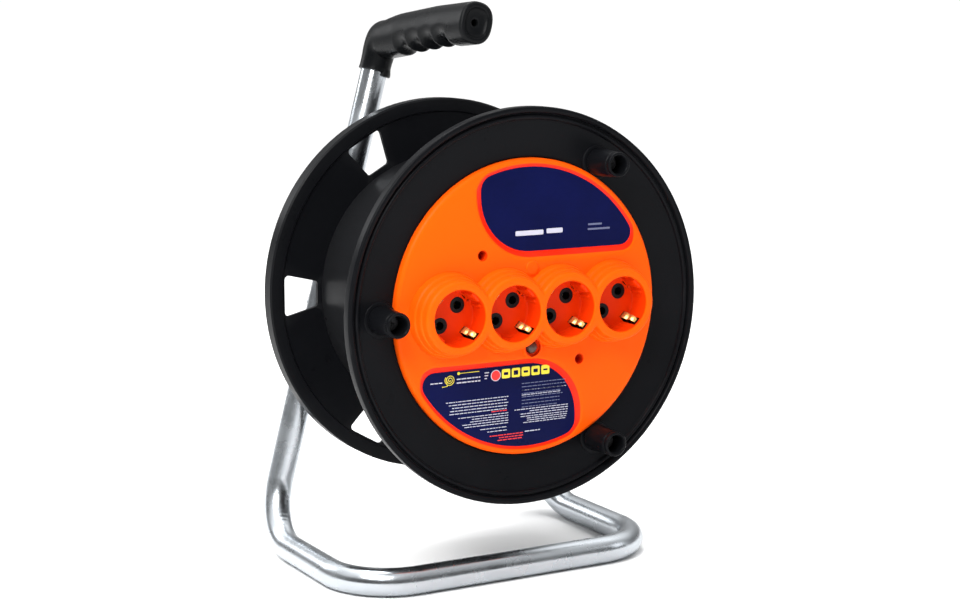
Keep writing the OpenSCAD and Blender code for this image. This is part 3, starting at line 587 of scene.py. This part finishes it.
def pocket(shape, cx, a):
    """The dark space behind a side clip, open to the recess: a near-black box that stands for painted shade in the
    hollow.
    """
    u, w = np.array((math.cos(a), math.sin(a))), np.array((-math.sin(a), math.cos(a)))
    low, high, half = -1.6, 15.3, 2.95
    rows = []
    for r in (19.4, 22.6):
        rows.append([(*(u * r + w * s * half + (cx, 0)), h)
                     for s, h in ((-1, low), (1, low), (1, high), (-1, high))])
    # The walls and back take the near-black insulator material as painted shade.
    shape.skin(rows, slot=3)
    shape.cap(rows[1], slot=3)
    base = [(*(u * r + w * s * 2.8 + (cx, 0)), low)
            for r, s in ((14.4, -1), (14.4, 1), (22.6, 1), (22.6, -1))]
    top = [(q[0], q[1], FLOOR_H) for q in base]
    shape.cap(base, slot=3)
    for i, j in ((3, 0), (0, 1), (1, 2)):
        shape.add([base[i], base[j], top[j], top[i]], [(0, 1, 2, 3)], slot=3)


def make_panel():
    shape = Shape()
    loops = [label_outline(0), label_outline(180)]
    borders = [grown(b, BORDER_W) for b in loops]
    panel_skin(shape, borders)
    for loop, outer in zip(loops, borders):
        label_border(shape, loop, outer)
    for x in SOCKET_XS:
        well(shape, x)
    rim = ring_points((0, 0), (PANEL_R,), 240)
    rows = [np.column_stack((rim, np.full(240, h))) for h in (crown(np.array([PANEL_R]))[0], -5, -9.4)]
    rows.append(np.column_stack((rim * (PANEL_R - 2.5) / PANEL_R, np.full(240, -9.4))))
    rows.append(np.column_stack((rim * (PANEL_R - 2.5) / PANEL_R, np.full(240, -5.5))))
    shape.skin(rows)
    # The screw holes and the reset hole also take the darker well material, as painted shade.
    for c in SCREW_HOLES:
        rings = [(HOLE_R + 0.45, None), (HOLE_R + 0.12, 0.12), (HOLE_R, 0.45), (HOLE_R, 6), (HOLE_R, 13),
                 (2.0, 13)]
        skin_hole(shape, c, rings, 40, 2)
    rings = [(RESET_R + 0.4, None), (RESET_R + 0.1, 0.12), (RESET_R, 0.5), (RESET_R, 2.6), (4.6, 2.7),
             (4.6, 7)]
    skin_hole(shape, RESET, rings, 64, 2)
    materials = [MATS["panel_orange"], BORDER, WELL_SHADE, MATS["contact_black"]]
    build("front_panel_moulding", shape, materials, "reel", ["front_panel"], sharp=50)


def skin_hole(shape, centre, rings, count, slot):
    """A hole whose mouth follows the panel's skin. A ring is its radius and its depth under the mouth."""
    rows = []
    for r, deep in rings:
        q = ring_points(centre, (r,), count)
        top = ring_points(centre, (rings[0][0],), count)
        h = panel_height(top[:, 0], top[:, 1])
        if deep is not None:
            flat = smooth_step(np.array([deep / 2.5]))[0]
            h = (h - deep) * (1 - flat) + (h.mean() - deep) * flat
        rows.append(np.column_stack((q, h)))
    shape.skin(rows, slot=slot)


# ---- label prints ----

def flat_bar(shape, x, y, w, hgt, lift, radius=0.3):
    """A thin printed bar with round corners, centred on x, y."""
    p = rounded([(x - w / 2, y - hgt / 2), (x + w / 2, y - hgt / 2), (x + w / 2, y + hgt / 2),
                 (x - w / 2, y + hgt / 2)], min(radius, hgt / 2, w / 2), 4, closed=True)
    top = np.column_stack((p, np.full(len(p), lift)))
    shape.cap(top)
    shape.skin([top, top - (0, 0, 0.03)])


def text_block(shape, rng, x0, x1, y0, rows, pitch, size, lift, ragged="right"):
    """Rows of short dashes that stand for small print."""
    for k in range(rows):
        a, b = x0, x1
        if k and ragged == "right":
            b -= rng.uniform(0, 0.25) * (x1 - x0)
        elif k:
            a += rng.uniform(0, 0.3) * (x1 - x0)
        x = a
        while x < b - 1.2:
            w = min(rng.uniform(1.2, 4.2), b - x)
            flat_bar(shape, x + w / 2, y0 - k * pitch, w, size, lift, 0.15)
            x += w + 0.55


def spiral(shape, cx, cy, r, turns, width, lift):
    """A flat printed coil with a short tail."""
    t = np.linspace(0, 1, 120)
    a = t * turns * 2 * math.pi
    rr = 0.5 + (r - 0.5) * t
    line = np.column_stack((cx + rr * np.cos(a), cy - rr * np.sin(a)))
    line = np.vstack((line, [(cx - 2.0, cy - r - 0.2), (cx - r - 2.2, cy - r - 0.4)]))
    d = np.gradient(line, axis=0)
    side = np.column_stack((-d[:, 1], d[:, 0])) / np.linalg.norm(d, axis=1)[:, None] * width / 2
    rows = [np.column_stack((line + side, np.full(len(line), lift))),
            np.column_stack((line - side, np.full(len(line), lift)))]
    shape.skin(rows, closed=False)


def make_prints():
    """Plain bars and shapes in place of the labels' printing."""
    rng = np.random.default_rng(7)
    film = LABEL_H + 0.25
    lift = film + 0.05
    white, faint, yellow, red, dark = Shape(), Shape(), Shape(), Shape(), Shape()
    flat_bar(white, 0.2, 52.4, 22.6, 3.4, lift, 0.9)
    flat_bar(white, 20.6, 52.9, 13.2, 3.4, lift, 0.9)
    flat_bar(faint, 54.0, 55.6, 11.5, 1.3, lift)
    flat_bar(faint, 57.2, 52.2, 18.5, 1.3, lift)
    for i in range(5):
        flat_bar(yellow, 13.6 - 8.0 * i, -45.2, 6.7, 6.5, lift, 1.1)
        flat_bar(dark, 13.6 - 8.0 * i, -45.2, 3.6, (1.2, 2.6, 1.6, 3.2, 2.0)[i], lift + 0.05, 0.5)
    p = ring_points((-26.6, -45.8), (3.5,), 40)
    red.cap(np.column_stack((p, np.full(40, lift + 0.03))))
    p = ring_points((-26.6, -45.8), (4.0,), 40)
    white.cap(np.column_stack((p, np.full(40, lift))))
    spiral(yellow, -62.8, -45.6, 4.0, 2.6, 0.45, lift)
    flat_bar(yellow, -47.5, -41.6, 15.5, 0.4, lift)
    p = ring_points((-56.0, -41.6), (1.1,), 24)
    yellow.cap(np.column_stack((p, np.full(24, lift))))
    text_block(white, rng, -57.5, -39.0, -45.6, 2, 2.6, 0.85, lift)
    text_block(white, rng, -78.0, -68.5, -47.0, 1, 2.6, 0.7, lift)
    text_block(white, rng, -35.5, -32.0, -43.2, 3, 2.0, 0.7, lift)
    text_block(white, rng, -66.0, -16.5, -61.5, 5, 2.1, 0.55, lift, "left")
    text_block(white, rng, -56.5, -16.5, -73.2, 5, 1.75, 0.5, lift, "left")
    text_block(white, rng, -39.0, -16.5, -83.0, 2, 2.3, 0.5, lift, "left")
    text_block(faint, rng, -5.6, 31.5, -53.6, 8, 2.4, 0.55, lift)
    text_block(white, rng, -5.6, 31.5, -58.4, 2, 3.4, 0.5, lift)
    text_block(white, rng, -11.5, 32.5, -72.0, 3, 1.7, 0.55, lift, "left")
    text_block(white, rng, -6.5, 32.0, -77.2, 4, 1.5, 0.5, lift, "left")
    text_block(white, rng, -3.0, 11.0, -88.0, 1, 2.0, 0.65, lift)
    text_block(red, rng, -31.5, -4.0, -88.6, 3, 1.8, 0.65, lift, "left")
    text_block(red, rng, -30.0, -16.5, -71.2, 1, 1.8, 0.6, lift)
    for name, shape, m in (("print_white", white, "white"), ("print_faint", faint, "faint"),
                           ("print_yellow", yellow, "yellow"), ("print_red", red, "red")):
        build(name, shape, [PRINTS[m]], "reel", merge=0.0005)
    build("print_dark", dark, [MATS["label_navy"]], "reel", merge=0.0005)


# ---- flanges and knobs ----

def make_front_flange():
    r, s, w = FLANGE_R, SEAT_R, 3.0
    profile = rounded([
        (s - 16, -9.5), (s, -9.5), (s, -6.7), (s + 0.7, -6.3), (r - 9.2, -3.7), (r - 8.7, -2.0),
        (r - 7.4, -1.3),
        (r - 6.2, -1.9), (r - 5.8, -3.6), (r - 4.9, -3.6), (r - 4.2, -0.9), (r - 2.9, 0), (r - 0.9, 0),
        (r, -1.0), (r, -7.6), (r - 0.4, -8.0), (r - 2.2, -8.0), (r - 2.5, -7.6), (r - 2.7, -3.8 - w),
        (s + 2.6, -6.4 - w), (s + 2.2, -12.5), (s - 16, -12.5)],
        [0, 0.2, 0.3, 0.3, 0.5, 0.6, 0.8, 0.6, 0.4, 0.4, 0.8, 0.9, 0.8, 0.8, 0.3, 0.3, 0.3, 0.3, 1.0, 1.0,
         0.8, 0.1], 5, closed=True)
    shape = Shape()
    shape.skin(lathe(profile, segments=256), wrap=True)
    for a in KNOB_ANGLES:
        c = (KNOB_R * math.cos(math.radians(a)), KNOB_R * math.sin(math.radians(a)))
        seat = rounded([(13.2, -7.5), (12.2, -4.2), (11.4, -3.9), (7.4, -3.9), (7.4, 7.0), (4.6, 7.0),
                        (4.6, 9.55), (2.45, 9.55), (2.45, -4)], [0, 0.6, 0.4, 0.2, 0.4, 0.2, 0.3, 0.1, 0], 5)
        shape.skin(lathe(seat, c, 64))
    build("front_flange_moulding", shape, [MATS["reel_black"]], "reel", ["front_flange"],
          sharp=40)


def make_knobs():
    profile = rounded([
        (7.45, -3.4), (9.2, -3.4), (9.9, -2.7), (9.72, 2), (8.78, 18.9), (8.2, 19.4), (8.2, 20.1),
        (8.78, 20.6), (8.75, 23.0), (8.2, 23.6), (7.2, 23.6), (6.5, 22.9), (6.5, 9.48), (4.9, 9.48),
        (4.9, 7.08), (7.45, 7.08)],
        [0.2, 0.5, 0.5, 3, 0.35, 0.2, 0.2, 0.35, 0.5, 0.4, 0.5, 0.4, 0.2, 0.1, 0.1, 0.2], 5, closed=True)
    for i, a in enumerate(KNOB_ANGLES):
        c = (KNOB_R * math.cos(math.radians(a)), KNOB_R * math.sin(math.radians(a)))
        shape = Shape()
        shape.skin(lathe(profile, c, 96), wrap=True)
        knob = f"knob_{i + 1}"
        build(f"knob_sleeve_{i + 1}", shape, [MATS["reel_black"]], knob, [knob])


# ---- side clips ----

# A leaf's section, as shares of its half width and millimetres of thickness
LEAF_SECTION = ((-1, -0.3), (-0.9, -0.42), (0.9, -0.42), (1, -0.3), (1, 0.3), (0.9, 0.42), (-0.9, 0.42),
                (-1, 0.3))


def make_clips():
    """The earth strip and its eight bent spring leaves."""
    shape = Shape()
    leaf = rounded([(17.6, -26), (17.6, -3), (15.3, 0.6), (14.6, 4.4), (17.0, 7.4), (16.6, 8.8),
                    (15.7, 10.8), (17.2, 13.0), (18.9, 14.2)], [0, 1.5, 1.5, 1.5, 0.9, 0.9, 1.2, 1.2, 0], 8)
    d = np.gradient(leaf, axis=0)
    d /= np.linalg.norm(d, axis=1)[:, None]
    normal = np.column_stack((d[:, 1], -d[:, 0]))
    n = len(leaf)
    for cx in SOCKET_XS:
        for a in CLIP_ANGLES:
            u, w = np.array((math.cos(a), math.sin(a))), np.array((-math.sin(a), math.cos(a)))
            rows = []
            for k in range(n):
                h = leaf[k, 1]
                half = 2.55 - 0.55 * smooth_step((h - 5) / 4) - 0.5 * smooth_step((h - 13) / 1.2)
                ring = []
                for s, o in LEAF_SECTION:
                    q = leaf[k] + normal[k] * o
                    ring.append((*(u * q[0] + w * s * half + (cx, 0)), q[1]))
                rows.append(ring)
            shape.skin(rows)
            shape.cap(rows[0])
            shape.cap(rows[-1][::-1])
            foot = [(*(u * r + w * s * 2.2 + (cx, 0)), -26 + o) for r, s, o in
                    ((0, -1, 0), (0, 1, 0), (17.9, 1, 0), (17.9, -1, 0))]
            shape.cap(foot)
    lo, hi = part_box("earth_strip")
    x0, x1 = lo.x / MM, hi.x / MM
    back = RIM_Y - hi.y / MM
    section = ((-2.0, 0), (2.0, 0), (2.2, 0.2), (2.2, 0.7), (2.0, 0.9), (-2.0, 0.9), (-2.2, 0.7),
               (-2.2, 0.2))
    bar = [[(x, y, back + o) for y, o in section] for x in (x0, x1)]
    shape.skin(bar)
    shape.cap(bar[0])
    shape.cap(bar[1][::-1])
    build("earth_clips", shape, [MATS["contact_brass"]], "reel", ["earth_strip"])


# ---- frame ----

def leg_x(side, z):
    return LOOP_X + side * (LOOP_HALF - (z - TUBE_R) * math.tan(LEG_LEAN))


LOOP_X, LOOP_HALF = -7.5, 121.0
BAR_Y = RIM_Y + 11.3
LEG_Y = RIM_Y + 170.0
TOP_Z = AXIS_Z + FLANGE_R + 50
DRAWN_TOP_Z = TOP_Z - 9  # inside the grip, the drawn tube stops short
SHORT_TOP_Z = AXIS_Z + 58


def make_tube():
    left, right = LOOP_X - LOOP_HALF, LOOP_X + LOOP_HALF
    corners = [(leg_x(-1, DRAWN_TOP_Z), LEG_Y, DRAWN_TOP_Z), (left, LEG_Y, TUBE_R), (left, BAR_Y, TUBE_R),
               (right, BAR_Y, TUBE_R), (right, LEG_Y, TUBE_R), (leg_x(1, SHORT_TOP_Z), LEG_Y, SHORT_TOP_Z)]
    path, inward = fillet_path(corners, 45)
    # straight runs get points too, so that their shading stays even
    dense, turn = [path[0]], [inward[0]]
    for i in range(1, len(path)):
        gap = np.linalg.norm(path[i] - path[i - 1])
        extra = int(gap // 12)
        for k in range(1, extra + 1):
            f = k / (extra + 1)
            dense.append(path[i - 1] * (1 - f) + path[i] * f)
            turn.append(np.zeros(3))
        dense.append(path[i])
        turn.append(inward[i])
    path, turn = np.array(dense), np.array(turn)
    t, side, up = transported(path, (1, 0, 0))
    run = np.append(0, np.cumsum(np.linalg.norm(np.diff(path, axis=0), axis=1)))
    a = np.arange(56) * 2 * math.pi / 56
    rows = []
    for k in range(len(path)):
        out = side[k][None, :] * np.cos(a)[:, None] + up[k][None, :] * np.sin(a)[:, None]
        inner = np.clip(out @ turn[k], 0, 1) ** 3
        r = TUBE_R - 0.02 - 0.16 * inner * (1 + math.sin(run[k] * 2 * math.pi / 4.6))
        rows.append(path[k] + out * r[:, None])
    shape = Shape()
    shape.skin(rows)
    for end, inwards in ((0, 1), (-1, -1)):
        c = path[end]
        shape.skin([c + (np.array(rows[end]) - c) * share + t[end] * inwards * deep
                    for share, deep in ((1, 0), (0.85, 0), (0.85, 8))])
    build("frame_tube_bent", shape, [MATS["zinc"]], "frame", ["frame_tube"], place=in_row)


def grip_section(count, half_w, top, bottom, n=2.5):
    """A rounded D of local (side, up) points."""
    a = np.arange(count) * 2 * math.pi / count
    c, s = np.cos(a), np.sin(a)
    side = half_w * np.sign(c) * np.abs(c) ** (2 / n)
    up = np.sign(s) * np.abs(s) ** (2 / n)
    return side, np.where(up > 0, up * top, up * bottom)


def between(x, table):
    """Reads a value off a table of (place, value) rows, with smooth joins."""
    t = np.asarray(table, float)
    return float(np.mean([np.interp(x + d, t[:, 0], t[:, 1]) for d in (-4, -2, 0, 2, 4)]))


SKIRT_L = 32.0
ELBOW_R, ELBOW_HALF_TURN = 13.0, math.radians(39)
ELBOW_DROP = 7.5
# Along the grip from the leg: (place, thickness under the middle)
UNDERSIDE = ((0, 15.6), (40, 16.4), (60, 15.6), (148, 14.6))
SCOOP_START, SCOOP_PITCH, SCOOP_COUNT, SCOOP_DEEP = 41.0, 20.8, 4, 4.4
END_ROUND = 2.2
HEM_L = 2.4


def grip_path(foot, top):
    """The middle of the grip at even steps: the skirt, an elbow and a gentle climb to the end."""
    corners = [foot, top + (-2.0, 0, -ELBOW_DROP), top + (-0.7, -40, -2.2), top + (-1.7, -96, 3.4),
               top + (-2.6, -148, 6.7)]
    first, _ = fillet_path(corners[:3], ELBOW_R)
    path = np.vstack((first, fillet_path(corners[1:], 120)[0][1:]))
    path = path[np.append(True, np.linalg.norm(np.diff(path, axis=0), axis=1) > 1e-6)]
    keep = [0]
    for i in range(1, len(path)):
        if i < len(first) or path[i][1] < path[keep[-1]][1]:
            keep.append(i)
    path = path[keep]
    run = np.append(0, np.cumsum(np.linalg.norm(np.diff(path, axis=0), axis=1)))
    even = np.linspace(0, run[-1], 150)
    return np.column_stack([np.interp(even, run, path[:, k]) for k in range(3)]), even


def grip_sizes(s, total, along):
    """Half width and the thickness over and under the middle, s along the path and along from the leg."""
    body = smooth_step(np.array([(s - 6) / 30]))[0]
    late = smooth_step(np.array([(s - 16) / 44]))[0]
    half_w = 11.7 * (1 - body) + 12.6 * body
    upper = 11.2 * (1 - late) + 14.6 * late
    lower = (11.7 + 4.6 * min(1, s / 26)) * (1 - body) + body * between(along, UNDERSIDE)
    half_elbow = ELBOW_R * ELBOW_HALF_TURN
    elbow = SKIRT_L - ELBOW_DROP + half_elbow - ELBOW_R * math.tan(ELBOW_HALF_TURN)
    turn = (s - elbow) / (half_elbow * 1.5)
    if abs(turn) < 1:
        ease = (math.sqrt(turn * turn + 0.05) - 0.2236) / (math.sqrt(1.05) - 0.2236)
        upper += 4.2 * (1 - ease) ** 2
    u = (along - SCOOP_START) / SCOOP_PITCH
    if 0 < u < SCOOP_COUNT:
        lower -= SCOOP_DEEP * abs(math.sin(math.pi * u)) ** 0.85
    if s < HEM_L:
        flare = 0.3 * math.cos(s / HEM_L * math.pi / 2)
        half_w, upper, lower = half_w + flare, upper + flare, lower + flare
    left = total - s
    if left < END_ROUND:
        q = 1 - 0.10 * (1 - math.sqrt(max(0, 1 - ((END_ROUND - left) / END_ROUND) ** 2)))
        half_w, upper, lower = half_w * q, upper * q, lower * q
    return half_w, upper, lower, 2 + 0.4 * body


def make_grip():
    count = 72
    top = np.array((leg_x(-1, TOP_Z), LEG_Y, TOP_Z))
    lean = np.array((math.sin(LEG_LEAN), 0, math.cos(LEG_LEAN)))
    foot = top - lean * SKIRT_L
    path, run = grip_path(foot, top)
    t, side, up = transported(path, (math.cos(LEG_LEAN), 0, -math.sin(LEG_LEAN)))
    rows = []
    for k in range(len(path)):
        a, b = grip_section(count, *grip_sizes(run[k], run[-1], LEG_Y - path[k][1]))
        rows.append(path[k] + side[k] * a[:, None] + up[k] * b[:, None])
    shape = Shape()
    shape.skin(rows)
    face_end(shape, rows[-1], path[-1], t[-1])
    inner = [rows[0]]
    for r, d in ((TUBE_R + 1.0, -0.3), (TUBE_R + 0.3, 0.4), (TUBE_R + 0.12, 6)):
        a, b = grip_section(count, r, r, r, 2)
        inner.append(path[0] + t[0] * d + side[0] * a[:, None] + up[0] * b[:, None])
    shape.skin(inner)
    skirt_lip(shape, foot, lean)
    build("grip_moulding", shape, [MATS["grip_black"]], "frame", ["handle_grip"],
          place=in_row, sharp=46)


def skirt_lip(shape, foot, lean):
    """A short tongue on the front of the skirt that runs further down the tube."""
    across = np.array((math.cos(LEG_LEAN), 0, -math.sin(LEG_LEAN)))
    front = np.array((0, -1.0, 0))
    rows = []
    for d, out, half in ((4, 11.7, 26), (0, 12.6, 25), (-2.2, 12.8, 24), (-3.0, 12.4, 22), (-3.2, 11.6, 20)):
        ring = []
        for r, sign in ((out, 1), (TUBE_R + 0.15, -1)):
            for a in np.radians(np.linspace(-half, half, 11) * sign + 34):
                ring.append(foot + lean * d + (front * math.cos(a) + across * math.sin(a)) * r)
        rows.append(ring)
    shape.skin(rows)
    shape.cap(rows[-1])


def face_end(shape, ring, centre, forward):
    """The grip's end: a raised rim, a dished face and a hole."""
    rel = np.array(ring) - centre
    size = np.linalg.norm(rel, axis=1)[:, None]
    rows = [ring]
    for share, back in ((0.90, -0.1), (0.86, 0.0), (0.80, 0.25), (0.775, 0.9), (0.74, 1.7), (0.55, 2.6),
                        (0.34, 3.0)):
        rows.append(centre + rel * share - forward * back)
    for r, back in ((3.2, 3.0), (2.7, 3.3), (2.6, 4.2), (2.6, 14)):
        rows.append(centre + rel / size * r - forward * back)
    shape.skin(rows)
    shape.cap(rows[-1])


# ---- set ----

# The camera, in the row frame: metres, radians and millimetres of lens
CAMERA_PLACE = (-0.6904, -1.2408, 0.4118)
CAMERA_DOWN, CAMERA_TURN, CAMERA_LENS = 0.1544, -0.5118, 73.43
SKY_STRENGTH = 1.45


def make_set():
    scene = bpy.context.scene
    scene.view_settings.view_transform = "Standard"
    bpy.ops.mesh.primitive_plane_add(size=400, location=(0, 0, 0))
    ground = bpy.context.object
    ground.name = "floor"
    paper = surface("floor_paper", (0.95, 0.95, 0.95), 0.9, 0, 0.03, 2, 300, 0.02, 0.01,
                    Specular_IOR_Level=0.0)
    ground.data.materials.append(paper)
    camera = bpy.data.objects.new("camera", bpy.data.cameras.new("camera"))
    camera.data.lens = CAMERA_LENS
    camera.data.sensor_width = 36
    camera.location = CAMERA_PLACE
    camera.rotation_euler = (math.pi / 2 - CAMERA_DOWN, 0, CAMERA_TURN)
    scene.collection.objects.link(camera)
    scene.camera = camera
    sky()
    for name, place, target, size, power, tone in (
            ("key", (-0.50, -0.50, 0.68), (-0.02, -0.08, 0.22), 0.35, 4.6, (1, 0.99, 0.97)),
            ("broad", (-1.5, -1.0, 2.2), (0, 0, 0.1), 1.2, 40, (1, 1, 1)),
            ("side", (1.7, -1.2, 0.9), (0, 0, 0.2), 0.8, 4, (0.97, 0.98, 1)),
            ("top", (0.1, 0.5, 1.9), (0, 0, 0.2), 0.8, 22, (1, 1, 1)),
            ("back", (-0.9, 1.5, 1.0), (0, 0, 0.2), 0.7, 7, (0.98, 0.99, 1))):
        lamp = bpy.data.objects.new(name, bpy.data.lights.new(name, "AREA"))
        lamp.data.size, lamp.data.energy, lamp.data.color = size, power, tone
        lamp.location = place
        lamp.rotation_euler = (Vector(target) - Vector(place)).to_track_quat("-Z", "Y").to_euler()
        scene.collection.objects.link(lamp)


def ramp(tree, stops):
    n = tree.nodes.new("ShaderNodeValToRGB")
    n.color_ramp.interpolation = "EASE"
    while len(n.color_ramp.elements) < len(stops):
        n.color_ramp.elements.new(0.5)
    for e, (at, v) in zip(n.color_ramp.elements, stops):
        e.position, e.color = at, (v, v, v, 1)
    return n


def sky():
    """A soft white surround with a few greyer bands, for the metal to reflect."""
    world = bpy.context.scene.world or bpy.data.worlds.new("studio")
    bpy.context.scene.world = world
    world.use_nodes = True
    tree = world.node_tree
    back = tree.nodes["Background"]
    where = tree.nodes.new("ShaderNodeTexCoord")
    split = tree.nodes.new("ShaderNodeSeparateXYZ")
    tree.links.new(where.outputs["Generated"], split.inputs[0])
    products = []
    for axis, stops in (("X", ((0, 1.0), (0.25, 0.8), (0.42, 1.0), (0.62, 0.8), (0.8, 1.0), (1, 0.9))),
                        ("Y", ((0, 0.35), (0.35, 0.4), (0.6, 0.9), (1, 1.0))),
                        ("Z", ((0, 0.9), (0.5, 0.9), (0.51, 0.5), (0.55, 0.2), (0.70, 0.3), (0.80, 1.1),
                               (1, 2.1)))):
        half = tree.nodes.new("ShaderNodeMapRange")
        half.inputs["From Min"].default_value = -1
        tree.links.new(split.outputs[axis], half.inputs["Value"])
        r = ramp(tree, stops)
        tree.links.new(half.outputs["Result"], r.inputs["Fac"])
        products.append(r.outputs["Color"])
    light = products[0]
    for factor in products[1:]:
        mix = tree.nodes.new("ShaderNodeMix")
        mix.data_type = "RGBA"
        mix.blend_type = "MULTIPLY"
        mix.inputs["Factor"].default_value = 1
        tree.links.new(light, mix.inputs["A"])
        tree.links.new(factor, mix.inputs["B"])
        light = mix.outputs["Result"]
    tree.links.new(light, back.inputs["Color"])
    back.inputs["Strength"].default_value = SKY_STRENGTH


dress_cad_nodes()
make_panel()
make_prints()
make_front_flange()
make_knobs()
make_clips()
make_tube()
make_grip()
make_set()
